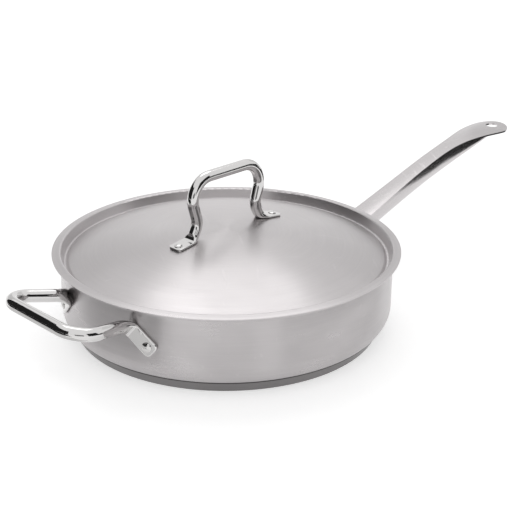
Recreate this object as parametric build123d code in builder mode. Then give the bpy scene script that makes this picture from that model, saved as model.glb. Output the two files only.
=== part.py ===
from build123d import *

import os
from math import atan2, cos, degrees, hypot, radians, sin, sqrt, tan

# Saute pan with a lid, a hollow long handle and a rod helper handle.
# Millimetres. The origin is the centre of the base's underside, +Z is up,
# +X points along the long handle and the helper handle is on the -X side.

# Pan shell
pan_inner_r = 140.0
pan_wall = 1.0
pan_height = 69.4
bottom_corner_r = 17.5
lip_bend_r = 5.0
lip_turn = 100.0

# Heat-spreading base
base_thickness = 5.6
base_bottom_inset = 11.4
base_seam_inset = 5.8
base_edge_r = 1.6
cap_sheet = 0.8

# Lid
lid_sheet = 0.8
lid_rest_gap = 0.3
lid_overhang = 6.7
flange_width = 7.5
flange_slope = 10.0
lid_plug_gap = 1.9
step_depth = 10.5
groove_bend_r = 1.6
flange_bend_r = 1.4
shoulder_width = 3.4
shoulder_rise = 2.8
shoulder_bend_r = 2.4
dome_rise = 23.2
lid_turn = 1.5

# Long handle, measured outwards from the pan's wall and down from the rim
handle_length = 239.0
handle_root_drop = 23.4
handle_rise = 54.9
handle_root_slope = 18.3
handle_tip_slope = 2.6
handle_sheet = 1.5
handle_neck_half = 8.4
handle_end_half = 18.4
handle_root_widening = 4.2
handle_crown_r = 115.0
hanging_hole_r = 6.0
hole_to_tip = 13.9
belly_depth = 20.0
belly_inset = 0.8
belly_sheet = 1.2

# Saddle that carries the long handle
saddle_sheet = 2.5
saddle_half_width = 31.0
saddle_height = 26.0
saddle_centre_drop = 30.4
saddle_corner_r = 9.0
saddle_rivet_spacing = 43.0
saddle_round_share = 0.4

# Helper handle: a round rod, bent to a loop, with its ends pressed flat
helper_rod_r = 5.4
helper_reach = 52.6
helper_outer_half = 52.0
helper_outer_drop = 4.3
helper_bend_r = 18.4
helper_foot_offset = 37.9
helper_foot_drop = 16.2
helper_press_run = 13.0
helper_tab_half = 7.3
helper_tab_thickness = 2.5
helper_tab_gap = 0.1
helper_tab_end = 7.0
helper_tab_corner_r = 4.5
helper_rivet_drop = 30.9
helper_rivet_offset = 54.8

# Lid handle: a round rod bridge with its ends pressed flat
grip_rod_r = 4.85
grip_rivet_r = 54.5
grip_rise = 50.2
grip_corner_r = 18.3
grip_corner_half = 44.2
grip_waist_half = 33.0
grip_waist_rise = 12.2
grip_waist_bend_r = 14.0
grip_foot_lean = 27.0
grip_tab_half = 7.2
grip_tab_thickness = 2.0
grip_tab_end = 5.4
grip_tab_corner_r = 3.4
grip_press_run = 5.0
grip_press_foot = 6.5

# Rivets
rivet_fit = 0.05
pan_shank_r = 2.5
pan_head_r = 4.1
pan_head_height = 1.6
pan_back_r = 5.0
pan_back_height = 1.2
lid_shank_r = 2.0
lid_head_r = 3.4
lid_head_height = 1.4
lid_back_r = 4.0
lid_back_height = 1.0

# How far cutting tools run past what they cut
overrun = 12.0

os.makedirs("parts", exist_ok=True)


def write(part, name):
    part.label = name
    export_step(part, "parts/" + name + ".step")


def polar(radius, angle):
    return (radius * cos(radians(angle)), radius * sin(radians(angle)))


# Shared radii and levels of the pan
pan_outer_r = pan_inner_r + pan_wall
lip_centre_r = pan_inner_r + lip_bend_r
lip_centre_z = pan_height - lip_bend_r
base_bottom_r = pan_outer_r - base_bottom_inset
base_seam_r = pan_outer_r - base_seam_inset
corner_centre_r = pan_outer_r - bottom_corner_r
corner_centre_z = base_thickness + bottom_corner_r
seam_z = corner_centre_z - sqrt(bottom_corner_r**2 - (base_seam_r - corner_centre_r) ** 2)

# Levels of the lid, found from the lip that its flange lies on
flange_top_r = lip_bend_r + lid_rest_gap + lid_sheet
flange_touch = polar(flange_top_r, 90 - flange_slope)
lid_outer_r = pan_outer_r + lid_overhang


def flange_level(radius):
    drop = (radius - lip_centre_r - flange_touch[0]) * tan(radians(flange_slope))
    return lip_centre_z + flange_touch[1] - drop


flange_inner_r = lid_outer_r - flange_width
flange_inner_z = flange_level(flange_inner_r)
groove_r = pan_inner_r - lid_plug_gap - lid_sheet
groove_z = flange_inner_z - step_depth
shoulder_r = groove_r - shoulder_width
shoulder_z = groove_z + shoulder_rise
dome_top_z = shoulder_z + dome_rise
dome_r = (shoulder_r**2 + dome_rise**2) / (2 * dome_rise)
grip_top_z = dome_top_z + grip_rise
grip_waist_z = dome_top_z + grip_waist_rise

# Levels of what is fastened to the wall, found from the rim
handle_root_top = pan_height - handle_root_drop
saddle_centre_z = pan_height - saddle_centre_drop
helper_outer_z = pan_height - helper_outer_drop
helper_foot_z = pan_height - helper_foot_drop
helper_rivet_z = pan_height - helper_rivet_drop


def dome_level(radius):
    return dome_top_z - dome_r + sqrt(dome_r**2 - radius**2)


helper_stand_off = helper_tab_gap + helper_tab_thickness


# Rivet seats: each plane stands on the outer face of what is riveted, z outwards
def wall_seat(side, angle, level, thickness):
    out = Vector(side * cos(radians(angle)), sin(radians(angle)), 0)
    along = Vector(-sin(radians(angle)), side * cos(radians(angle)), 0)
    return Plane(
        origin=out * (pan_outer_r + thickness) + Vector(0, 0, level),
        x_dir=along,
        z_dir=out,
    )


helper_rivet_turn = degrees(helper_rivet_offset / pan_outer_r)
saddle_rivet_turn = degrees(saddle_rivet_spacing / 2 / pan_outer_r)
helper_seats = {
    side: wall_seat(-1, turn * helper_rivet_turn, helper_rivet_z, helper_stand_off)
    for side, turn in (("left", 1), ("right", -1))
}
saddle_seats = {
    side: wall_seat(1, turn * saddle_rivet_turn, saddle_centre_z, saddle_sheet)
    for side, turn in (("left", 1), ("right", -1))
}

# The lid handle stands in its own upright plane, turned with the lid
grip_along = Vector(*polar(1, lid_turn), 0)
grip_across = Vector(*polar(1, lid_turn + 90), 0)
grip_plane = Plane(origin=(0, 0, 0), x_dir=grip_along, z_dir=-grip_across)
grip_tilt = degrees(atan2(grip_rivet_r, sqrt(dome_r**2 - grip_rivet_r**2)))


def grip_seat(side):
    out = grip_along * side
    normal = out * sin(radians(grip_tilt)) + Vector(0, 0, cos(radians(grip_tilt)))
    foot = out * grip_rivet_r + Vector(0, 0, dome_level(grip_rivet_r))
    return Plane(
        origin=foot + normal * grip_tab_thickness,
        x_dir=out * cos(radians(grip_tilt)) - Vector(0, 0, sin(radians(grip_tilt))),
        z_dir=normal,
    )


grip_seats = {"left": grip_seat(-1), "right": grip_seat(1)}


def rivet_holes(seats, shank_r):
    with BuildPart() as holes:
        for seat in seats.values():
            with BuildSketch(seat):
                Circle(shank_r + rivet_fit)
            extrude(amount=overrun, both=True)
    return holes.part


# Pan shell: flat floor, round corner, upright wall and a lip that turns over
pan_holes = rivet_holes(saddle_seats, pan_shank_r) + rivet_holes(helper_seats, pan_shank_r)
with BuildPart() as pan_body:
    with BuildSketch(Plane.XZ):
        with BuildLine():
            skin = Line((0, base_thickness), (corner_centre_r, base_thickness))
            skin += CenterArc((corner_centre_r, corner_centre_z), bottom_corner_r, 270, 90)
            skin += Line((pan_outer_r, corner_centre_z), (pan_outer_r, lip_centre_z))
            skin += CenterArc(
                (lip_centre_r, lip_centre_z), lip_bend_r - pan_wall, 180, -lip_turn
            )
            offset(amount=pan_wall, side=Side.LEFT)
        make_face()
    revolve(axis=Axis.Z)
    add(pan_holes, mode=Mode.SUBTRACT)
write(pan_body.part, "pan_body")

# Base: an aluminium disc, closed in by a stainless cup that meets the shell's corner
with BuildSketch(Plane.XZ) as base_section:
    with BuildLine():
        foot = Line((0, 0), (base_bottom_r, 0))
        flank = Line(foot @ 1, (base_seam_r, seam_z))
        fillet_arc = RadiusArc(flank @ 1, (corner_centre_r, base_thickness), bottom_corner_r)
        Polyline(fillet_arc @ 1, (0, base_thickness), (0, 0))
    make_face()
    fillet(base_section.vertices().group_by(Axis.Y)[0].sort_by(Axis.X)[-1], radius=base_edge_r)
with BuildSketch(Plane.XZ) as cap_band:
    with BuildLine():
        flank_run = Vector(base_seam_r - base_bottom_r, seam_z)
        FilletPolyline(
            (0, 0),
            (base_bottom_r, 0),
            Vector(base_bottom_r, 0) + flank_run * 2,
            radius=base_edge_r,
        )
        offset(amount=cap_sheet, side=Side.LEFT)
    make_face()
with BuildPart() as base_cap:
    with BuildSketch(Plane.XZ):
        add(base_section.sketch_local)
        add(cap_band.sketch_local, mode=Mode.INTERSECT)
    revolve(axis=Axis.Z)
write(base_cap.part, "base_cap")
with BuildPart() as base_core:
    with BuildSketch(Plane.XZ):
        add(base_section.sketch_local)
        add(cap_band.sketch_local, mode=Mode.SUBTRACT)
    revolve(axis=Axis.Z)
write(base_core.part, "base_core")

# Lid: a domed panel with a groove that drops inside the pan and a sloping flange
with BuildPart() as lid_panel:
    with BuildSketch(Plane.XZ):
        with BuildLine() as lid_skin:
            dome = RadiusArc((0, dome_top_z), (shoulder_r, shoulder_z), dome_r)
            Polyline(
                dome @ 1,
                (groove_r, groove_z),
                (flange_inner_r, flange_inner_z),
                (lid_outer_r, flange_level(lid_outer_r)),
            )
            bends = lid_skin.vertices().sort_by(Axis.X)[1:-1]
            fillet(bends[0], radius=shoulder_bend_r)
            fillet(lid_skin.vertices().group_by(Axis.Y)[0], radius=groove_bend_r)
            fillet(bends[2], radius=flange_bend_r)
            offset(amount=lid_sheet, side=Side.RIGHT)
        make_face()
    revolve(axis=Axis.Z)
    add(rivet_holes(grip_seats, lid_shank_r), mode=Mode.SUBTRACT)
write(lid_panel.part, "lid_panel")

# Pressed rod ends: a round rod bends onto its seat while it is squeezed flat.
# Each pair is a share of the way through the bend and a share of the squeeze.
press_foot_share = 0.65
press_shares = ((0.0, 0.0), (0.25, 0.2), (0.5, 0.64), (0.75, 0.94), (1.0, 1.0))
tab_round_share = 0.45
tab_root_share = 0.85

# The round end of such a bend is drawn in four arcs: first and last angle of each
rod_arcs = ((-80, 80), (80, 100), (100, 260), (260, 280))


def square_to(across, along):
    return (across - along * across.dot(along)).normalized()


def round_outline(centre, along, across, rod_r):
    plane = Plane(origin=centre, x_dir=across, z_dir=along)
    return Wire([Edge.make_circle(rod_r, plane, first, last) for first, last in rod_arcs])


def flat_section(centre, along, across, half_width, half_thickness):
    with BuildSketch(Plane(origin=centre, x_dir=across, z_dir=along)) as section:
        SlotOverall(2 * half_width, 2 * half_thickness)
    return section.sketch


def pressed_bend(start, corner, foot, across_start, across_end, rod_r, tab_half, tab_thickness):
    outlines = [round_outline(start, (corner - start).normalized(), across_start, rod_r)]
    for way, squeeze in press_shares[1:]:
        centre = start * (1 - way) ** 2 + corner * (2 * way * (1 - way)) + foot * way**2
        along = ((corner - start) * (1 - way) + (foot - corner) * way).normalized()
        across = square_to(across_start * (1 - way) + across_end * way, along)
        half_width = rod_r + (tab_half - rod_r) * squeeze
        half_thickness = rod_r + (tab_thickness / 2 - rod_r) * squeeze
        section = flat_section(centre, along, across, half_width, half_thickness)
        outlines.append(section.wire())
    return outlines


def tab_end_cutter(plane, end, half_width, corner_r):
    with BuildPart() as cutter:
        with BuildSketch(plane):
            with Locations((end - corner_r, 0)):
                Rectangle(
                    corner_r + overrun,
                    2 * (half_width + overrun),
                    align=(Align.MIN, Align.CENTER),
                )
            with Locations((end, 0)):
                RectangleRounded(
                    2 * half_width + 2 * corner_r,
                    2 * half_width,
                    corner_r,
                    align=(Align.MAX, Align.CENTER),
                    mode=Mode.SUBTRACT,
                )
        extrude(amount=overrun, both=True)
    return cutter.part


# Helper handle: where each leg meets the wall, and the run of its pressed tab
helper_foot_r = pan_outer_r + helper_stand_off - helper_tab_thickness / 2
helper_foot_turn = helper_foot_offset / pan_outer_r
helper_rivet_turn_rad = helper_rivet_offset / pan_outer_r
helper_tab_run = helper_foot_r * (helper_rivet_turn_rad - helper_foot_turn)
helper_tab_drop = helper_foot_z - helper_rivet_z
helper_tab_to_rivet = hypot(helper_tab_run, helper_tab_drop)


def helper_tab_frame(side, distance):
    """Centre, direction and width direction of the tab, this far below its bend."""
    share = distance / helper_tab_to_rivet
    turn = helper_foot_turn + (helper_rivet_turn_rad - helper_foot_turn) * share
    out = Vector(-cos(turn), side * sin(turn), 0)
    around = Vector(sin(turn), side * cos(turn), 0)
    level = helper_foot_z - helper_tab_drop * share
    along = (around * helper_tab_run - Vector(0, 0, helper_tab_drop)).normalized()
    return out * helper_foot_r + Vector(0, 0, level), along, out.cross(along)


def helper_end(side):
    corner, tab_along, across = helper_tab_frame(side, 0)
    outer = Vector(-pan_outer_r - helper_reach, side * helper_outer_half, helper_outer_z)
    leg = (outer - corner).normalized()
    start = corner + leg * helper_press_run
    foot, foot_along, foot_across = helper_tab_frame(side, helper_press_run * press_foot_share)
    across_start = tab_along.cross(leg)
    if across_start.dot(foot_across) < 0:
        across_start = -across_start
    outlines = pressed_bend(
        start,
        corner,
        foot,
        across_start,
        foot_across,
        helper_rod_r,
        helper_tab_half,
        helper_tab_thickness,
    )
    centre, along, across = helper_tab_frame(side, helper_press_run)
    root = tab_root_share
    tip = flat_section(centre, along, across, helper_tab_half * root, helper_tab_thickness * root / 2)
    return start, Solid.make_loft(outlines + [tip.wire()])


def helper_tab(side):
    """Flat end that follows the wall, with rounded corners past its rivet."""
    length = helper_tab_to_rivet + helper_tab_end - helper_press_run * press_foot_share
    centre, along, across = helper_tab_frame(side, helper_tab_to_rivet)
    with BuildPart() as tab:
        with BuildSketch(Plane(origin=centre, x_dir=along, z_dir=across.cross(along))):
            with Locations((helper_tab_end, 0)):
                RectangleRounded(
                    length + helper_tab_corner_r,
                    2 * helper_tab_half,
                    helper_tab_corner_r,
                    align=(Align.MAX, Align.CENTER),
                )
        extrude(amount=overrun, both=True)
        Cylinder(pan_outer_r + helper_stand_off, 2 * pan_height, mode=Mode.INTERSECT)
        Cylinder(pan_outer_r + helper_tab_gap, 2 * pan_height, mode=Mode.SUBTRACT)
        skins = tab.faces().sort_by(SortBy.AREA)[-2:]
        fillet(skins.edges(), radius=helper_tab_thickness * tab_round_share)
    return tab.part


helper_starts = {side: helper_end(side)[0] for side in (1, -1)}
helper_tilt_x = Vector(helper_starts[1].X, 0, helper_starts[1].Z)
helper_outer_mid = Vector(-pan_outer_r - helper_reach, 0, helper_outer_z)
helper_out = (helper_outer_mid - helper_tilt_x).normalized()
helper_loop_plane = Plane(
    origin=helper_outer_mid, x_dir=helper_out, z_dir=helper_out.cross(Vector(0, -1, 0))
)
with BuildPart() as helper_handle:
    with BuildLine(helper_loop_plane) as loop:
        root = helper_loop_plane.to_local_coords(helper_starts[1])
        FilletPolyline(
            (root.X, root.Y),
            (0, -helper_outer_half),
            (0, helper_outer_half),
            (root.X, -root.Y),
            radius=helper_bend_r,
        )
    with BuildSketch(Plane(origin=loop.line @ 0, z_dir=loop.line % 0)):
        Circle(helper_rod_r)
    sweep()
    for side in (1, -1):
        add(helper_end(side)[1])
        add(helper_tab(side))
    add(rivet_holes(helper_seats, pan_shank_r), mode=Mode.SUBTRACT)
write(helper_handle.part, "helper_handle")

# Lid handle: an upright bridge of round rod with a waist above each pressed foot
grip_lean = (sin(radians(grip_foot_lean)), -cos(radians(grip_foot_lean)))


def grip_point(half, level):
    return grip_along * half + Vector(0, 0, level)


def grip_foot(side):
    """Start of the squeeze, corner of the bend and end of the bend, on one side."""
    seat = grip_seats["right" if side > 0 else "left"]
    tab_middle = seat.origin - seat.z_dir * (grip_tab_thickness / 2)
    waist = grip_point(side * grip_waist_half, grip_waist_z)
    leg = grip_point(side * grip_lean[0], grip_lean[1])
    normal = seat.z_dir
    corner = waist + leg * ((tab_middle - waist).dot(normal) / leg.dot(normal))
    return corner - leg * grip_press_run, corner, corner + seat.x_dir * grip_press_foot


with BuildPart() as lid_handle:
    start, corner, foot = grip_foot(1)
    with BuildLine(grip_plane) as bridge:
        root = grip_plane.to_local_coords(start)
        FilletPolyline(
            (-root.X, root.Y),
            (-grip_waist_half, grip_waist_z),
            (-grip_corner_half, grip_top_z),
            (grip_corner_half, grip_top_z),
            (grip_waist_half, grip_waist_z),
            (root.X, root.Y),
            radius=(grip_waist_bend_r, grip_corner_r, grip_corner_r, grip_waist_bend_r),
        )
    with BuildSketch(Plane(origin=bridge.line @ 0, z_dir=bridge.line % 0)):
        Circle(grip_rod_r)
    sweep()
    for side, name in ((1, "right"), (-1, "left")):
        start, corner, foot = grip_foot(side)
        seat = grip_seats[name]
        outlines = pressed_bend(
            start,
            corner,
            foot,
            grip_across,
            grip_across,
            grip_rod_r,
            grip_tab_half,
            grip_tab_thickness,
        )
        add(Solid.make_loft(outlines))
        extrude(
            flat_section(foot, seat.x_dir, grip_across, grip_tab_half, grip_tab_thickness / 2),
            amount=(seat.origin - foot).dot(seat.x_dir) + grip_tab_end + grip_tab_thickness,
        )
        add(
            tab_end_cutter(seat, grip_tab_end, grip_tab_half, grip_tab_corner_r),
            mode=Mode.SUBTRACT,
        )
    add(rivet_holes(grip_seats, lid_shank_r), mode=Mode.SUBTRACT)
write(lid_handle.part, "lid_handle")

# Long handle: the plan outline, the side line of its top and its crowned section
handle_root_x = pan_outer_r + saddle_sheet
handle_tip_x = pan_outer_r + handle_length

# Side line of the top: shares of the handle's length and of its rise
side_shares = ((0.0, 0.0), (0.36, 0.53), (0.64, 0.888), (0.82, 0.998), (1.0, 1.007))

# Shares of the length: where the root's flare has died away, where the flat end starts and
# stops widening, and where the belly starts and stops running out
neck_share = 0.46
end_flare_shares = (0.61, 0.94)
belly_fade_shares = (0.56, 0.913)
plan_point_count = 10
belly_section_count = 16


def along_handle(way):
    return pan_outer_r + way * handle_length


def heading(angle):
    return (cos(radians(angle)), sin(radians(angle)))


with BuildLine(Plane.XZ) as top_line:
    Spline(
        [(along_handle(way), handle_root_top + rise * handle_rise) for way, rise in side_shares],
        tangents=(heading(handle_root_slope), heading(handle_tip_slope)),
    )
side_line = top_line.edges()[0]


def progress(way, shares):
    """How far this share of the length is between two others, from 0 to 1."""
    first, last = shares
    return min(max((way - first) / (last - first), 0), 1)


def handle_half(way):
    root = progress(way, (neck_share, 0)) ** 1.5
    end = progress(way, end_flare_shares)
    widening = (handle_end_half - handle_neck_half) * end**2 * (3 - 2 * end)
    return handle_neck_half + handle_root_widening * root + widening


with BuildSketch() as handle_plan:
    with BuildLine():
        plan_ways = [step / plan_point_count for step in range(plan_point_count)]
        edge_points = [
            (along_handle(way), handle_half(way)) for way in plan_ways if way < end_flare_shares[1]
        ]
        edge_points.append((handle_tip_x - handle_end_half, handle_end_half))
        edge = Spline(edge_points)
        tip = RadiusArc(edge @ 1, (handle_tip_x, 0), handle_end_half)
        Polyline(tip @ 1, (pan_outer_r, 0), edge @ 0)
    make_face()
    mirror(about=Plane.XZ)


def crowned_band(bottom, top):
    """Solid that follows the side line between two levels, measured from the top skin."""
    reach = handle_end_half + overrun
    sag = handle_crown_r - sqrt(handle_crown_r**2 - reach**2)
    with BuildPart() as band:
        with BuildSketch(Plane(side_line @ 0, x_dir=(0, 1, 0), z_dir=side_line % 0)):
            with BuildLine():
                upper = ThreePointArc((-reach, top - sag), (0, top), (reach, top - sag))
                lower = ThreePointArc((-reach, bottom - sag), (0, bottom), (reach, bottom - sag))
                Line(upper @ 0, lower @ 0)
                Line(upper @ 1, lower @ 1)
            make_face()
        sweep(path=side_line)
    return band.part


with BuildPart() as root_cutter:
    Cylinder(handle_root_x, 2 * (handle_root_top + handle_rise))

with BuildPart() as long_handle_top:
    add(crowned_band(-handle_sheet, 0))
    extrude(
        handle_plan.sketch,
        amount=handle_root_top + handle_rise + overrun,
        mode=Mode.INTERSECT,
    )
    add(root_cutter.part, mode=Mode.SUBTRACT)
    hole_way = 1 - hole_to_tip / side_line.length
    hole_normal = (side_line % hole_way).cross(Vector(0, 1, 0))
    with BuildSketch(Plane(side_line @ hole_way, z_dir=hole_normal)):
        Circle(hanging_hole_r)
    extrude(amount=overrun, both=True, mode=Mode.SUBTRACT)
write(long_handle_top.part, "long_handle_top")

# Belly of the long handle: a U-shaped trough that runs out before the hanging hole.
# Its sections stand upright under the side line of the top.
belly_side_share = 0.2
belly_end_share = 0.907
hollow_end_share = 0.861


def belly_section(at, skin):
    """Section of the trough, or of its hollow when a skin is taken off."""
    way = (at.X - pan_outer_r) / handle_length
    fade = progress(way, belly_fade_shares)
    depth = handle_sheet + belly_depth * (1 - fade**2.3) - skin
    half_width = handle_half(way) * sqrt(1 - fade**6) - belly_inset - skin
    side = depth * belly_side_share
    with BuildSketch(Plane(at, x_dir=(0, 1, 0), z_dir=(1, 0, 0))) as section:
        with BuildLine():
            bowl = EllipticalCenterArc((0, -side), half_width, depth - side, 180, arc_size=180)
            Polyline(bowl @ 1, (half_width, 0), (-half_width, 0), bowl @ 0)
        make_face()
    return section.sketch


def belly_loft(last_share, skin):
    """Loft of sections that stand closer together towards the nose."""
    turns = [90 * step / belly_section_count for step in range(belly_section_count + 1)]
    places = [side_line @ (last_share * sin(radians(turn))) for turn in turns]
    return Solid.make_loft([belly_section(at, skin).wire() for at in places])


with BuildPart() as long_handle_belly:
    add(belly_loft(belly_end_share, 0))
    add(belly_loft(hollow_end_share, belly_sheet), mode=Mode.SUBTRACT)
    add(crowned_band(-handle_sheet, overrun), mode=Mode.SUBTRACT)
    add(root_cutter.part, mode=Mode.SUBTRACT)
write(long_handle_belly.part, "long_handle_belly")

# Saddle: a curved plate on the wall that the hollow handle is welded to
with BuildPart() as long_handle_bracket:
    with BuildSketch(Plane.YZ):
        with Locations((0, saddle_centre_z)):
            RectangleRounded(2 * saddle_half_width, saddle_height, saddle_corner_r)
    extrude(amount=handle_root_x + overrun)
    Cylinder(handle_root_x, 2 * pan_height, mode=Mode.INTERSECT)
    Cylinder(pan_outer_r, 2 * pan_height, mode=Mode.SUBTRACT)
    outer_face = long_handle_bracket.faces().filter_by(GeomType.CYLINDER).sort_by(Axis.X)[-1]
    fillet(outer_face.edges(), radius=saddle_sheet * saddle_round_share)
    add(rivet_holes(saddle_seats, pan_shank_r), mode=Mode.SUBTRACT)
write(long_handle_bracket.part, "long_handle_bracket")


# Rivets: a low round head outside, a shank through what it holds, a flat head inside
rivet_rim_share = 0.3


def rivet(seat, grip, sizes, back_curve_r):
    shank_r, head_r, head_height, back_r, back_height = sizes
    back = -grip - back_curve_r + sqrt(back_curve_r**2 - back_r**2)
    head_rim = head_height * rivet_rim_share
    back_rim = back - back_height * rivet_rim_share
    head_round = (head_r**2 + (head_height - head_rim) ** 2) / (2 * (head_height - head_rim))
    back_drop = back_rim - back + back_height
    back_round = (back_r**2 + back_drop**2) / (2 * back_drop)
    across = Plane(seat.origin, x_dir=seat.x_dir, z_dir=seat.x_dir.cross(seat.z_dir))
    with BuildPart() as body:
        with BuildSketch(across):
            with BuildLine():
                crown = RadiusArc((0, head_height), (head_r, head_rim), head_round)
                Polyline(
                    crown @ 1,
                    (head_r, 0),
                    (shank_r, 0),
                    (shank_r, back),
                    (back_r, back),
                    (back_r, back_rim),
                )
                RadiusArc((back_r, back_rim), (0, back - back_height), back_round)
                Line((0, back - back_height), (0, head_height))
            make_face()
        revolve(axis=Axis(seat.origin, seat.z_dir))
    return body.part


pan_rivet = (pan_shank_r, pan_head_r, pan_head_height, pan_back_r, pan_back_height)
lid_rivet = (lid_shank_r, lid_head_r, lid_head_height, lid_back_r, lid_back_height)
riveted = (
    ("long_handle_rivet_", saddle_seats, saddle_sheet + pan_wall, pan_rivet, pan_inner_r),
    ("helper_rivet_", helper_seats, helper_stand_off + pan_wall, pan_rivet, pan_inner_r),
    ("lid_rivet_", grip_seats, grip_tab_thickness + lid_sheet, lid_rivet, dome_r - lid_sheet),
)
for name, seats, grip, sizes, back_curve_r in riveted:
    for side, seat in seats.items():
        write(rivet(seat, grip, sizes, back_curve_r), name + side)
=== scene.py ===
# %% [markdown]
# # A saute pan with its lid on
# The pan is deep drawn stainless steel with a thick closed base. A bent rod is riveted to
# the lid, a rod loop to one side of the wall, and a long hollow handle to the other. The
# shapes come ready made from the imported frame, and each of them is already one real piece
# of metal. What is left to do in Blender is what a polisher and a photographer would do:
# give each piece its finish, and build the studio that the metal mirrors.

import math

import bmesh
import bpy
from mathutils import Matrix, Vector


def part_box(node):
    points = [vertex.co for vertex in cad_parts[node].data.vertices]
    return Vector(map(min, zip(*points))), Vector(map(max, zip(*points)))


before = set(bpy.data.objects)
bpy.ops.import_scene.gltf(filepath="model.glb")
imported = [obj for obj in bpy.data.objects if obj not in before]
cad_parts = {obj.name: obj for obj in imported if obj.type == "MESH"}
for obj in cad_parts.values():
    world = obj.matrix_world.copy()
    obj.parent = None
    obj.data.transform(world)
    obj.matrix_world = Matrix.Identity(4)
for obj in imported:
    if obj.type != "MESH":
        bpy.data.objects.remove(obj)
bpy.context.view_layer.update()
scene = bpy.context.scene
scene.view_settings.view_transform = "Standard"


def short(values):
    """Numbers with three decimals, for printing."""
    return [round(value, 3) for value in values]


print("pieces:", ", ".join(sorted(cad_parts)))

# %% [markdown]
# ## The camera
# The rim and the base are circles, so in a picture they are ellipses. Their widths, heights
# and centres say where the camera stood and how long its lens was. The numbers below are
# that answer: a turn and a rise round the pan, a distance, and three small turns of the
# camera's own head.

# %% Camera
camera_turn = math.radians(-42.2)
camera_rise = math.radians(23.69)
camera_distance = 1.1072
camera_target = Vector((0, 0, 0.0394))
camera_yaw, camera_pitch, camera_roll = -0.0226, 0.0171, 0.0051
camera_lens_px = 1286.95
frame_px = 512
sensor_mm = 36.0

back = Vector((
    math.sin(camera_turn) * math.cos(camera_rise),
    -math.cos(camera_turn) * math.cos(camera_rise),
    math.sin(camera_rise),
))
right = back.cross(Vector((0, 0, -1))).normalized()
up = back.cross(right)
yaw = Matrix.Rotation(camera_yaw, 3, up)
pitch = Matrix.Rotation(camera_pitch, 3, yaw @ right)
roll = Matrix.Rotation(camera_roll, 3, pitch @ yaw @ -back)
turned = roll @ pitch @ yaw
axes = Matrix((turned @ right, turned @ up, turned @ back)).transposed()

camera_data = bpy.data.cameras.new("camera")
camera_data.lens = camera_lens_px / frame_px * sensor_mm
camera_data.sensor_width = sensor_mm
camera = bpy.data.objects.new("camera", camera_data)
camera.matrix_world = Matrix.Translation(camera_target + back * camera_distance) @ axes.to_4x4()
scene.collection.objects.link(camera)
scene.camera = camera
print("camera at", short(camera.location), "lens", round(camera_data.lens, 2), "mm")

# %% [markdown]
# ## The studio
# Steel has hardly any colour of its own. Nearly all that is seen on it is the room, bent
# by its curves, so most of the work on a metal material is work on what stands around it.
# This studio is a pale floor under a white sky. A wide soft box hangs behind the pan, high
# up, where the near side of the dome mirrors it. Screens stand round the pan, low down, and
# are seen in the metal only. The black ones at the sides draw the dark lines along the rods
# and the long handle, and the grey ones keep broad pale faces from turning pure white.

# %% Node helpers
def new_material(name):
    """A node material with nothing in it but its output and a Principled shader."""
    material = bpy.data.materials.new(name)
    material.use_nodes = True
    tree = material.node_tree
    return material, tree, tree.nodes["Principled BSDF"]


def calculate(tree, operation, first, second=0.0):
    """A Math node on two values, each of them a number or an output of another node."""
    node = tree.nodes.new("ShaderNodeMath")
    node.operation = operation
    for socket, value in zip(node.inputs, (first, second)):
        if isinstance(value, bpy.types.NodeSocket):
            tree.links.new(value, socket)
        else:
            socket.default_value = value
    return node.outputs[0]


def rescale(tree, value, low, high, new_low=0.0, new_high=1.0):
    """A Map Range node: what runs from low to high comes out from new_low to new_high."""
    node = tree.nodes.new("ShaderNodeMapRange")
    tree.links.new(value, node.inputs["Value"])
    ends = {"From Min": low, "From Max": high, "To Min": new_low, "To Max": new_high}
    for label, amount in ends.items():
        if isinstance(amount, bpy.types.NodeSocket):
            tree.links.new(amount, node.inputs[label])
        else:
            node.inputs[label].default_value = amount
    return node.outputs["Result"]


# %% [markdown]
# The floor is a broad pale sheet. It could be made white by stronger lamps, but those would
# burn out the steel as well. So it glows by itself instead, which brings it close to white
# and still leaves the pan a soft shadow to stand in.

# %% Floor
floor_width = 12.0
floor_grey, floor_roughness, floor_glow = 0.8, 0.9, 0.54
bpy.ops.mesh.primitive_plane_add(size=floor_width)
floor = bpy.context.object
floor.name = "floor"
material, _, shader = new_material("pale_floor")
shader.inputs["Base Color"].default_value = (floor_grey, floor_grey, floor_grey, 1)
shader.inputs["Roughness"].default_value = floor_roughness
shader.inputs["Emission Color"].default_value = (1, 1, 1, 1)
shader.inputs["Emission Strength"].default_value = floor_glow
floor.data.materials.append(material)
print("floor", floor_width, "m wide")

# %% [markdown]
# The sky lights dull things such as the floor at less than full strength, while the camera
# and all mirror images see it at 1, which is white. Light Path tells which ray is asking.

# %% Sky
world = bpy.data.worlds.new("studio")
scene.world = world
world.use_nodes = True
sky_tree = world.node_tree
sky = sky_tree.nodes["Background"]
rays = sky_tree.nodes.new("ShaderNodeLightPath").outputs
seen = calculate(sky_tree, "MAXIMUM", rays["Is Camera Ray"], rays["Is Glossy Ray"])
seen = calculate(sky_tree, "MAXIMUM", seen, rays["Is Transmission Ray"])
sky_light, sky_seen = 0.6, 1.0
strength = rescale(sky_tree, seen, 0.0, 1.0, sky_light, sky_seen)
sky_tree.links.new(strength, sky.inputs["Strength"])
sky.inputs["Color"].default_value = (1, 1, 1, 1)
print("sky lights with", sky_light, "and is seen as", sky_seen)

# %% [markdown]
# Lamps and screens are placed by a turn and a rise, as a photographer walks them round the
# table. The soft box is an area lamp. A broad one lays a wide soft patch of light on the
# dome, where a small one would give a hard spot.


# %% Placing things round the pan
def towards(azimuth, elevation, distance):
    """A point this far from the pan, in the direction of a turn and a rise in degrees."""
    turn, rise = math.radians(azimuth), math.radians(elevation)
    flat = math.cos(rise) * distance
    height = math.sin(rise) * distance
    return Vector((math.sin(turn) * flat, -math.cos(turn) * flat, height))


camera_azimuth = math.degrees(camera_turn)

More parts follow.
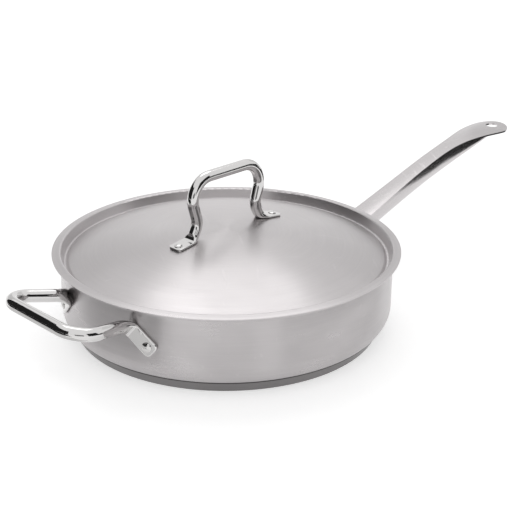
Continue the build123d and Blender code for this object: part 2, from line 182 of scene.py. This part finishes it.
# %% Soft box
box_elevation, box_distance = 64, 2.0
box_width, box_depth = 1.3, 0.9
box_power = 4.7
data = bpy.data.lights.new("soft_box", "AREA")
data.shape = "RECTANGLE"
data.size, data.size_y = box_width, box_depth
data.energy = box_power
soft_box = bpy.data.objects.new("soft_box", data)
soft_box.location = towards(camera_azimuth + 180, box_elevation, box_distance)
soft_box.rotation_mode = "QUATERNION"
soft_box.rotation_quaternion = soft_box.location.to_track_quat("Z", "Y")
scene.collection.objects.link(soft_box)
print("soft box", box_width, "by", box_depth, "m at", short(soft_box.location))

# %% [markdown]
# A screen is one upright edge that is spun part of the way round the pan. It is hidden from
# the camera, from soft light and from shadows, so it is there for the mirror images alone,
# and shows as exactly the grey that it is given. The two behind the pan are light greys,
# since the lid's flat edge and the top of the long handle look that way. The small dark one
# by the camera is what a photographer and a tripod would put into the near metal.


# %% Screen helpers
degrees_per_step = 6


def metal_only(thing):
    """Leaves a thing in mirror images alone."""
    thing.visible_camera = False
    thing.visible_diffuse = False
    thing.visible_shadow = False


def screen(name, start, end, distance, low, high, grey):
    """A wall round the pan between two turns, from one rise to another, in degrees."""
    mesh = bpy.data.meshes.new(name)
    shape = bmesh.new()
    ends = []
    for rise in (low, high):
        slant = distance / math.cos(math.radians(rise))
        ends.append(shape.verts.new(towards(start, rise, slant)))
    edge = shape.edges.new(ends)
    steps = round((end - start) / degrees_per_step)
    bmesh.ops.spin(shape, geom=ends + [edge], axis=(0, 0, 1), cent=(0, 0, 0),
                   angle=math.radians(end - start), steps=steps)
    shape.to_mesh(mesh)
    shape.free()
    thing = bpy.data.objects.new(name, mesh)
    scene.collection.objects.link(thing)
    material, _, shader = new_material(name)
    shader.inputs["Base Color"].default_value = (0, 0, 0, 1)
    shader.inputs["Specular IOR Level"].default_value = 0
    shader.inputs["Emission Color"].default_value = (grey, grey, grey, 1)
    shader.inputs["Emission Strength"].default_value = 1
    mesh.materials.append(material)
    metal_only(thing)
    print(name, "from", round(start, 1), "to", round(end, 1), "degrees, grey", grey)


# %% Screens
# Each row has a name, the turns at which the screen starts and ends, in degrees from the
# camera's own, its distance in metres, its lowest and highest rise in degrees, and its grey.
black, dark, light, lighter = 0.02, 0.2, 0.74, 0.80
camera_side, side, behind = 1.8, 1.9, 2.3
floor_edge = 0.1
screens = (
    ("left_screen", -128, -34, side, floor_edge, 42, black),
    ("right_screen", 34, 78, side, floor_edge, 36, black),
    ("low_screen", 78, 118, side, floor_edge, 12, black),
    ("back_right_screen", 128, 166, behind, 8, 34, lighter),
    ("back_left_screen", 194, 230, behind, 8, 34, light),
    ("camera_screen", -12, 18, camera_side, floor_edge, 16, dark),
)
for name, start, end, *shape_and_grey in screens:
    screen(name, camera_azimuth + start, camera_azimuth + end, *shape_and_grey)

# %% [markdown]
# The near side of the long handle faces down and to the right, and the outer rod of the
# helper handle looks to the left, so both mirror the floor there. A black sheet on the floor
# at each side gives them the broad dark bands that they have in the picture. Two small grey
# ones lie beside the helper handle, and tone down its rods and the near riveted end.


# %% Sheets on the floor
sheet_lift = 0.003


def floor_sheet(name, corner, far_corner, like_screen):
    """A sheet on the floor between two corners, in the grey of one of the screens."""
    bpy.ops.mesh.primitive_plane_add(size=1)
    sheet = bpy.context.object
    sheet.name = name
    (left, front), (right, rear) = corner, far_corner
    sheet.scale = (right - left, rear - front, 1)
    sheet.location = ((left + right) / 2, (front + rear) / 2, sheet_lift)
    sheet.data.materials.append(bpy.data.materials[like_screen])
    metal_only(sheet)
    print(name, "from", corner, "to", far_corner)


# Each row has a name, two opposite corners in metres, and the screen that has the same grey.
sheets = (
    ("right_sheet", (0.37, -1.0), (1.3, -0.07), "left_screen"),
    ("left_sheet", (-1.4, -0.1), (-0.32, 1.2), "left_screen"),
    # The two grey sheets are painted shade: they stand for the darker floor in the pan's shadow
    # beside the helper handle, as its rods and riveted end mirror it.
    ("grey_sheet", (-0.32, -0.03), (-0.17, 0.16), "back_left_screen"),
    ("end_sheet", (-0.26, -0.065), (-0.18, -0.03), "back_left_screen"),
)
for sheet_row in sheets:
    floor_sheet(*sheet_row)

# %% [markdown]
# ## The marks of the workshop
# Nothing on a used pan is one flat grey. A spun or polished surface keeps fine lines from
# the belt that finished it, a cloth leaves faint wiping marks, and hands leave hairlines.
# Each of these is one node group, made once and then set differently in each metal. The
# groups only give numbers that change over the surface: the shader stays in the material.


# %% Group helper
def new_group(name, inputs, outputs):
    """A node group with named sockets, and its nodes for what comes in and goes out."""
    group = bpy.data.node_groups.new(name, "ShaderNodeTree")
    for label, kind, value in inputs:
        socket = group.interface.new_socket(label, in_out="INPUT", socket_type="NodeSocket" + kind)
        if value is not None:
            socket.default_value = value
    for label, kind in outputs:
        group.interface.new_socket(label, in_out="OUTPUT", socket_type="NodeSocket" + kind)
    entry = group.nodes.new("NodeGroupInput")
    result = group.nodes.new("NodeGroupOutput")
    print("group", name, "gives", ", ".join(label for label, kind in outputs))
    return group, entry.outputs, result.inputs


# %% [markdown]
# Lines that run round the pan need to know how far a point is from the middle and which
# way it lies. The angle itself would jump at half a turn and leave a seam, so the group
# gives the direction as a short arrow, which has no seam. The height is added to the radius,
# because on an upright wall the height is all that changes from one line to the next.

# %% Round the pan
round_group, entry, result = new_group("round_the_pan", [], [
    ("Across", "Float"), ("Along", "Vector"), ("Radius", "Float"), ("Rise", "Float")])
place = round_group.nodes.new("ShaderNodeTexCoord")
parts = round_group.nodes.new("ShaderNodeSeparateXYZ")
flat = round_group.nodes.new("ShaderNodeCombineXYZ")
length = round_group.nodes.new("ShaderNodeVectorMath")
length.operation = "LENGTH"
arrow = round_group.nodes.new("ShaderNodeVectorMath")
arrow.operation = "NORMALIZE"
round_links = round_group.links
round_links.new(place.outputs["Object"], parts.inputs[0])
round_links.new(parts.outputs["X"], flat.inputs["X"])
round_links.new(parts.outputs["Y"], flat.inputs["Y"])
round_links.new(flat.outputs[0], length.inputs[0])
round_links.new(flat.outputs[0], arrow.inputs[0])
across = calculate(round_group, "ADD", length.outputs["Value"], parts.outputs["Z"])
round_links.new(across, result["Across"])
round_links.new(arrow.outputs["Vector"], result["Along"])
round_links.new(length.outputs["Value"], result["Radius"])
round_links.new(parts.outputs["Z"], result["Rise"])

# %% [markdown]
# The belt's lines are noise that is squeezed hard across the lines and hardly at all along
# them. A picture of brushed metal could be stretched over the pan instead, but it would
# smear on the dome, and noise has the same fineness everywhere.

# %% Belt lines
belt_group, entry, result = new_group("belt_lines", [
    ("Across", "Float", 0.0), ("Along", "Vector", None), ("Lines Per Metre", "Float", 900.0),
    ("Changes Along", "Float", 3.0)], [("Shade", "Float"), ("Height", "Float")])
belt_links = belt_group.links
least_shade, most_shade = 0.32, 0.68
along = belt_group.nodes.new("ShaderNodeVectorMath")
along.operation = "SCALE"
belt_links.new(entry["Along"], along.inputs[0])
belt_links.new(entry["Changes Along"], along.inputs["Scale"])
along_parts = belt_group.nodes.new("ShaderNodeSeparateXYZ")
belt_links.new(along.outputs[0], along_parts.inputs[0])
squeezed = belt_group.nodes.new("ShaderNodeCombineXYZ")
closer = calculate(belt_group, "MULTIPLY", entry["Across"], entry["Lines Per Metre"])
belt_links.new(closer, squeezed.inputs["X"])
belt_links.new(along_parts.outputs["X"], squeezed.inputs["Y"])
belt_links.new(along_parts.outputs["Y"], squeezed.inputs["Z"])
lines = belt_group.nodes.new("ShaderNodeTexNoise")
lines.inputs["Scale"].default_value = 1.0
lines.inputs["Detail"].default_value = 3.0
lines.inputs["Roughness"].default_value = 0.65
belt_links.new(squeezed.outputs[0], lines.inputs["Vector"])
shade = rescale(belt_group, lines.outputs["Fac"], least_shade, most_shade)
belt_links.new(shade, result["Shade"])
belt_links.new(lines.outputs["Fac"], result["Height"])

# %% [markdown]
# A cloth leaves broad, soft clouds where the metal is a touch duller. Two sizes of noise
# are mixed, so that the clouds don't all look alike.

# %% Wiping marks
wipe_group, entry, result = new_group("wiping_marks", [
    ("Marks Per Metre", "Float", 14.0), ("Stretch", "Vector", (1.0, 1.0, 1.0))],
    [("Clouds", "Float")])
wipe_links = wipe_group.links
small_times, small_share = 6.0, 0.15
least_cloud, most_cloud = 0.4, 0.75
place = wipe_group.nodes.new("ShaderNodeTexCoord")
stretched = wipe_group.nodes.new("ShaderNodeVectorMath")
stretched.operation = "MULTIPLY"
wipe_links.new(place.outputs["Object"], stretched.inputs[0])
wipe_links.new(entry["Stretch"], stretched.inputs[1])
broad = wipe_group.nodes.new("ShaderNodeTexNoise")
broad.inputs["Detail"].default_value = 2.0
broad.inputs["Distortion"].default_value = 0.6
wipe_links.new(stretched.outputs[0], broad.inputs["Vector"])
wipe_links.new(entry["Marks Per Metre"], broad.inputs["Scale"])
small = wipe_group.nodes.new("ShaderNodeTexNoise")
small.inputs["Detail"].default_value = 4.0
wipe_links.new(stretched.outputs[0], small.inputs["Vector"])
finer = calculate(wipe_group, "MULTIPLY", entry["Marks Per Metre"], small_times)
wipe_links.new(finer, small.inputs["Scale"])
faint = calculate(wipe_group, "MULTIPLY", small.outputs["Fac"], small_share)
both = calculate(wipe_group, "ADD", broad.outputs["Fac"], faint)
wipe_links.new(rescale(wipe_group, both, least_cloud, most_cloud), result["Clouds"])

# %% [markdown]
# Hairlines are the few long scratches that washing up and stacking leave. They are noise
# drawn out into threads in two directions, of which only the very highest are kept.

# %% Hairlines
hair_group, entry, result = new_group("hairlines", [
    ("Scratches Per Metre", "Float", 260.0), ("How Few", "Float", 0.66)], [("Scratches", "Float")])
hair_links = hair_group.links
hair_turns = (0.5, 2.1)
hair_squeeze = (0.04, 1.0, 1.0)
hair_edge = 0.06
place = hair_group.nodes.new("ShaderNodeTexCoord")
found = []
for turn in hair_turns:
    turned_place = hair_group.nodes.new("ShaderNodeVectorRotate")
    turned_place.rotation_type = "Z_AXIS"
    turned_place.inputs["Angle"].default_value = turn
    hair_links.new(place.outputs["Object"], turned_place.inputs["Vector"])
    squeezed = hair_group.nodes.new("ShaderNodeVectorMath")
    squeezed.operation = "MULTIPLY"
    squeezed.inputs[1].default_value = hair_squeeze
    hair_links.new(turned_place.outputs[0], squeezed.inputs[0])
    threads = hair_group.nodes.new("ShaderNodeTexNoise")
    threads.inputs["Detail"].default_value = 1.0
    hair_links.new(squeezed.outputs[0], threads.inputs["Vector"])
    hair_links.new(entry["Scratches Per Metre"], threads.inputs["Scale"])
    full = calculate(hair_group, "ADD", entry["How Few"], hair_edge)
    found.append(rescale(hair_group, threads.outputs["Fac"], entry["How Few"], full))
hair_links.new(calculate(hair_group, "MAXIMUM", *found), result["Scratches"])

# %% [markdown]
# Handling wears a band of metal bright: the outer edge of the lid, where it is set down, the lip,
# where spoons knock, and the tip of the long handle. The group gives 1 in such a band and fades to
# 0 beside it. It also gives the band of painted shade along the joint over the base.

# %% Worn bands and bands of painted shade
band_group, entry, result = new_group("wear_and_shade_band", [
    ("Place", "Float", 0.0), ("Middle", "Float", 0.0), ("Half Width", "Float", 0.002)],
    [("Band", "Float")])
fade_from, fade_to = 0.5, 1.5
offset = calculate(band_group, "SUBTRACT", entry["Place"], entry["Middle"])
away = calculate(band_group, "ABSOLUTE", offset)
share = calculate(band_group, "DIVIDE", away, entry["Half Width"])
band_group.links.new(rescale(band_group, share, fade_from, fade_to, 1.0, 0.0), result["Band"])

# %% [markdown]
# A group does nothing until a material has a node that refers to it. Each metal below places
# the groups that it needs and gives them numbers of its own.


# %% Using a group
def use_group(tree, group, **settings):
    """Places a group, gives its named inputs a number or a link, and returns its outputs."""
    node = tree.nodes.new("ShaderNodeGroup")
    node.node_tree = group
    for label, value in settings.items():
        socket = node.inputs[label.replace("_", " ")]
        if isinstance(value, bpy.types.NodeSocket):
            tree.links.new(value, socket)
        else:
            socket.default_value = value
    return node.outputs


# %% [markdown]
# ## The metals
# All but the core of the base are steel, and they share a recipe: a Principled shader with
# Metallic at 1, a grey that the clouds and the lines lighten and darken a little, a roughness
# that follows them, and a bump from the lines. What differs is how each was finished. A
# surface that is brushed round spreads its light across the lines and hardly along them,
# which makes the bright fan on the dome. Anisotropic does that. It stretches a highlight
# along the tangent, and the tangent here runs round the pan with the lines, so Anisotropic
# Rotation gives it a quarter turn.


# %% Recipe
# Each pair is what a mark multiplies by where there is none of it, and where it is strongest.
# A single number is the roughness that hairlines add, or that the band of painted shade has at
# least.
cloud_grey, cloud_rough = (1.015, 0.975), (0.92, 1.14)
line_grey, line_rough = (0.985, 1.015), (1.05, 0.96)
hair_grey, hair_rough = (1.0, 1.06), 0.05
bright_grey, bright_rough = (1.0, 1.04), (1.0, 0.9)
# Painted shade: the joint over the base is darkened to about a fifth of its grey, and made rougher
# there.
painted_shade_grey, painted_shade_rough = (1.0, 0.22), 0.6
steel_tint, rod_tint = (1.0, 0.960, 0.968), (1.0, 0.985, 0.978)
aluminium_tint = (1.0, 1.0, 1.01)


def vary(tree, value, mask, ends):
    """A value times the first number where a mask is 0, and the second where it is 1."""
    return calculate(tree, "MULTIPLY", value, rescale(tree, mask, 0.0, 1.0, *ends))


def finish_steel(tree, shader, grey, roughness, clouds, lines=None, hairs=None, bright=None,
                 painted_shade=None, line_depth=0.000004, tint=steel_tint):
    """Joins clouds, lines, hairlines, worn bright bands and bands of painted shade to a steel
    shader of one grey.
    """
    links = tree.links
    level = rescale(tree, clouds, 0.0, 1.0, grey * cloud_grey[0], grey * cloud_grey[1])
    rough = rescale(tree, clouds, 0.0, 1.0, roughness * cloud_rough[0], roughness * cloud_rough[1])
    if lines:
        level = vary(tree, level, lines["Shade"], line_grey)
        rough = vary(tree, rough, lines["Shade"], line_rough)
        bump = tree.nodes.new("ShaderNodeBump")
        bump.inputs["Distance"].default_value = line_depth
        links.new(lines["Height"], bump.inputs["Height"])
        links.new(bump.outputs[0], shader.inputs["Normal"])
    if hairs:
        level = vary(tree, level, hairs, hair_grey)
        rough = calculate(tree, "ADD", rough, calculate(tree, "MULTIPLY", hairs, hair_rough))
    if bright:
        level = vary(tree, level, bright, bright_grey)
        rough = vary(tree, rough, bright, bright_rough)
    if painted_shade:
        level = vary(tree, level, painted_shade, painted_shade_grey)
        rough = calculate(tree, "MAXIMUM", rough, calculate(tree, "MULTIPLY", painted_shade, painted_shade_rough))
    colour = tree.nodes.new("ShaderNodeCombineColor")
    for channel, share in zip(("Red", "Green", "Blue"), tint):
        links.new(calculate(tree, "MULTIPLY", level, share), colour.inputs[channel])
    links.new(colour.outputs[0], shader.inputs["Base Color"])
    links.new(rough, shader.inputs["Roughness"])
    shader.inputs["Metallic"].default_value = 1.0


# %% Light across the lines
# A whole turn is 1.
quarter_turn = 0.25


def spread_round(tree, shader, amount):
    """Light spreads across lines that run round the pan, as it does on spun metal."""
    tangent = tree.nodes.new("ShaderNodeTangent")
    tangent.direction_type = "RADIAL"
    tangent.axis = "Z"
    tree.links.new(tangent.outputs["Tangent"], shader.inputs["Tangent"])
    shader.inputs["Anisotropic"].default_value = amount
    shader.inputs["Anisotropic Rotation"].default_value = quarter_turn


# %% Giving a piece its metal
def wear(name, material):
    """Gives a CAD piece its metal."""
    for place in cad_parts[name].material_slots:
        place.material = material
    print(name, "is", material.name)


# %% [markdown]
# The lid was spun over a form and brushed as it turned, so its lines are circles. Its outer
# edge is brighter and smoother, where it is set down and picked up. The hairlines are few,
# for they are the first thing to look false when there are too many.

# %% Lid
lid_grey, lid_roughness, lid_spread = 0.55, 0.33, 0.75
rim_inset, rim_half = 0.0015, 0.0016
rim_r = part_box("lid_panel")[1].x - rim_inset
lid_metal, tree, shader = new_material("brushed_lid")
ring = use_group(tree, round_group)
lines = use_group(tree, belt_group, Across=ring["Across"], Along=ring["Along"],
                  Lines_Per_Metre=700.0, Changes_Along=2.2)
clouds = use_group(tree, wipe_group, Marks_Per_Metre=9.0)["Clouds"]
hairs = use_group(tree, hair_group, Scratches_Per_Metre=180.0, How_Few=0.70)["Scratches"]
rim = use_group(tree, band_group, Place=ring["Radius"], Middle=rim_r, Half_Width=rim_half)["Band"]
finish_steel(tree, shader, lid_grey, lid_roughness, clouds, lines, hairs, rim)
spread_round(tree, shader, lid_spread)
wear("lid_panel", lid_metal)

# %% [markdown]
# The shell was drawn from one sheet. Its wall was brushed round as well, which lets its light
# spread up and down and gives it the calm, even grey of the picture. A cloth has wiped it round
# and round, so its clouds are squeezed in height and lie along the wall. Its lip is worn bright,
# and a thin line of painted shade darkens the joint where it meets the base.

# %% Shell
shell_grey, shell_roughness, shell_spread = 0.52, 0.29, 0.95
lip_drop, lip_half, seam_half = 0.0004, 0.0016, 0.0008
lip_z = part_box("pan_body")[1].z - lip_drop
seam_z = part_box("base_cap")[1].z
shell_metal, tree, shader = new_material("brushed_shell")
ring = use_group(tree, round_group)
lines = use_group(tree, belt_group, Across=ring["Across"], Along=ring["Along"],
                  Lines_Per_Metre=800.0, Changes_Along=2.6)
clouds = use_group(tree, wipe_group, Marks_Per_Metre=11.0, Stretch=(1.0, 1.0, 2.2))["Clouds"]
hairs = use_group(tree, hair_group, Scratches_Per_Metre=160.0, How_Few=0.70)["Scratches"]
lip = use_group(tree, band_group, Place=ring["Rise"], Middle=lip_z, Half_Width=lip_half)["Band"]
# Painted shade: a thin dark line along the joint with the base cap.
seam_shade = use_group(tree, band_group, Place=ring["Rise"], Middle=seam_z, Half_Width=seam_half)["Band"]
finish_steel(tree, shader, shell_grey, shell_roughness, clouds, lines, hairs, lip, seam_shade)
spread_round(tree, shader, shell_spread)
wear("pan_body", shell_metal)

# %% [markdown]
# The cap of the base was faced on a lathe, which leaves fine even rings on its underside, and it
# is rougher than the wall because it scrapes over the hob. Its grey is set much darker than the
# wall's as painted shade, for the floor near the pan that it mirrors lies in the pan's shadow. A
# band of painted shade also darkens its top edge at the joint with the shell. The rings are a sine
# wave of the radius, a few millimetres from crest to crest. They could be cut as real grooves, but
# they are shallow and hardly ever seen, so a bump is enough.

# %% Base cap
# The cap's grey holds painted shade: it is set dark for the shadowed floor near the pan that the
# cap mirrors.
cap_grey_with_painted_shade, cap_roughness, cap_spread = 0.22, 0.38, 0.7
ring_pitch, ring_depth = 0.0040, 0.00012
underside_z, rings_end_z = 0.0004, 0.0012
cap_metal, tree, shader = new_material("turned_base")
ring = use_group(tree, round_group)
lines = use_group(tree, belt_group, Across=ring["Across"], Along=ring["Along"],
                  Lines_Per_Metre=1500.0, Changes_Along=1.5)
clouds = use_group(tree, wipe_group, Marks_Per_Metre=16.0)["Clouds"]
hairs = use_group(tree, hair_group, Scratches_Per_Metre=220.0, How_Few=0.64)["Scratches"]
# Painted shade: a thin dark line along the cap's top edge, at the joint with the shell.
seam_shade = use_group(tree, band_group, Place=ring["Rise"], Middle=seam_z, Half_Width=seam_half)["Band"]
finish_steel(tree, shader, cap_grey_with_painted_shade, cap_roughness, clouds, lines, hairs, painted_shade=seam_shade)
wave = calculate(tree, "SINE", calculate(tree, "MULTIPLY", ring["Radius"], math.tau / ring_pitch))
under = rescale(tree, ring["Rise"], underside_z, rings_end_z, 1.0, 0.0)
grooves = tree.nodes.new("ShaderNodeBump")
grooves.inputs["Distance"].default_value = ring_depth
tree.links.new(calculate(tree, "MULTIPLY", wave, under), grooves.inputs["Height"])
belt_bump = shader.inputs["Normal"].links[0].from_socket
tree.links.new(belt_bump, grooves.inputs["Normal"])
tree.links.new(grooves.outputs[0], shader.inputs["Normal"])
spread_round(tree, shader, cap_spread)
wear("base_cap", cap_metal)

# %% [markdown]
# The core of the base is aluminium, and the cap and the shell close it in on all sides. It
# is only seen if the base is cut open, so the same recipe in a cooler tint is enough, with
# clouds and no lines.

# %% Base core
core_grey, core_roughness = 0.72, 0.5
core_metal, tree, shader = new_material("core_aluminium")
clouds = use_group(tree, wipe_group, Marks_Per_Metre=40.0)["Clouds"]
finish_steel(tree, shader, core_grey, core_roughness, clouds, tint=aluminium_tint)
wear("base_core", core_metal)

# %% [markdown]
# The two rods are bright drawn bar, polished after they were bent. They are smooth enough
# to mirror the room as sharp bands: pale sky above, the black screens, and pale floor below.
# A low roughness does that. The clouds are small here, like finger marks, and a faint bump
# from them lets the mirrored bands waver a little, as they do on a bar that has been bent.

# %% Rods
rod_grey, rod_roughness, rod_wave_depth = 0.66, 0.07, 0.00004
rod_metal, tree, shader = new_material("polished_rod")
clouds = use_group(tree, wipe_group, Marks_Per_Metre=45.0)["Clouds"]
hairs = use_group(tree, hair_group, Scratches_Per_Metre=420.0, How_Few=0.72)["Scratches"]
finish_steel(tree, shader, rod_grey, rod_roughness, clouds, hairs=hairs, tint=rod_tint)
waves = tree.nodes.new("ShaderNodeBump")
waves.inputs["Distance"].default_value = rod_wave_depth
tree.links.new(clouds, waves.inputs["Height"])
tree.links.new(waves.outputs[0], shader.inputs["Normal"])
for name in ("helper_handle", "lid_handle"):
    wear(name, rod_metal)

# %% [markdown]
# A rivet is headed cold with a punch and is polished only lightly, so it mirrors a little less
# sharply than the rods do. Its clouds and scratches are small, as the head itself is.

# %% Rivets
rivet_grey, rivet_roughness = 0.62, 0.12
rivet_metal, tree, shader = new_material("headed_rivet")
clouds = use_group(tree, wipe_group, Marks_Per_Metre=160.0)["Clouds"]
hairs = use_group(tree, hair_group, Scratches_Per_Metre=900.0, How_Few=0.66)["Scratches"]
finish_steel(tree, shader, rivet_grey, rivet_roughness, clouds, hairs=hairs, tint=rod_tint)
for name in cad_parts:
    if "rivet" in name:
        wear(name, rivet_metal)

# %% [markdown]
# The long handle was pressed from sheet and finished along its length with a fine belt, so
# its lines run from the pan to the tip. The light spreads across them a little, for which
# the roughness alone is enough. Palms have rubbed the tip of its flat end bright.

# %% Long handle
handle_grey, handle_roughness, handle_line_depth = 0.56, 0.22, 0.000002
side_share = 0.7
end_inset, end_half = 0.008, 0.010
end_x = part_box("long_handle_top")[1].x - end_inset
handle_metal, tree, shader = new_material("satin_handle")
place = tree.nodes.new("ShaderNodeTexCoord")
parts = tree.nodes.new("ShaderNodeSeparateXYZ")
tree.links.new(place.outputs["Object"], parts.inputs[0])
along_x = parts.outputs["X"]
lengthwise = tree.nodes.new("ShaderNodeCombineXYZ")
tree.links.new(along_x, lengthwise.inputs["X"])
down_the_side = calculate(tree, "MULTIPLY", parts.outputs["Z"], side_share)
across = calculate(tree, "ADD", parts.outputs["Y"], down_the_side)
lines = use_group(tree, belt_group, Across=across, Along=lengthwise.outputs[0],
                  Lines_Per_Metre=1600.0, Changes_Along=14.0)
clouds = use_group(tree, wipe_group, Marks_Per_Metre=22.0, Stretch=(0.4, 1.0, 1.0))["Clouds"]
hairs = use_group(tree, hair_group, Scratches_Per_Metre=300.0, How_Few=0.68)["Scratches"]
tip = use_group(tree, band_group, Place=along_x, Middle=end_x, Half_Width=end_half)["Band"]
finish_steel(tree, shader, handle_grey, handle_roughness, clouds, lines, hairs, tip,
             line_depth=handle_line_depth)
for name in ("long_handle_top", "long_handle_belly", "long_handle_bracket"):
    wear(name, handle_metal)

# %% [markdown]
# ## Finish

# %% Finish
print("pieces dressed:", len(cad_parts))
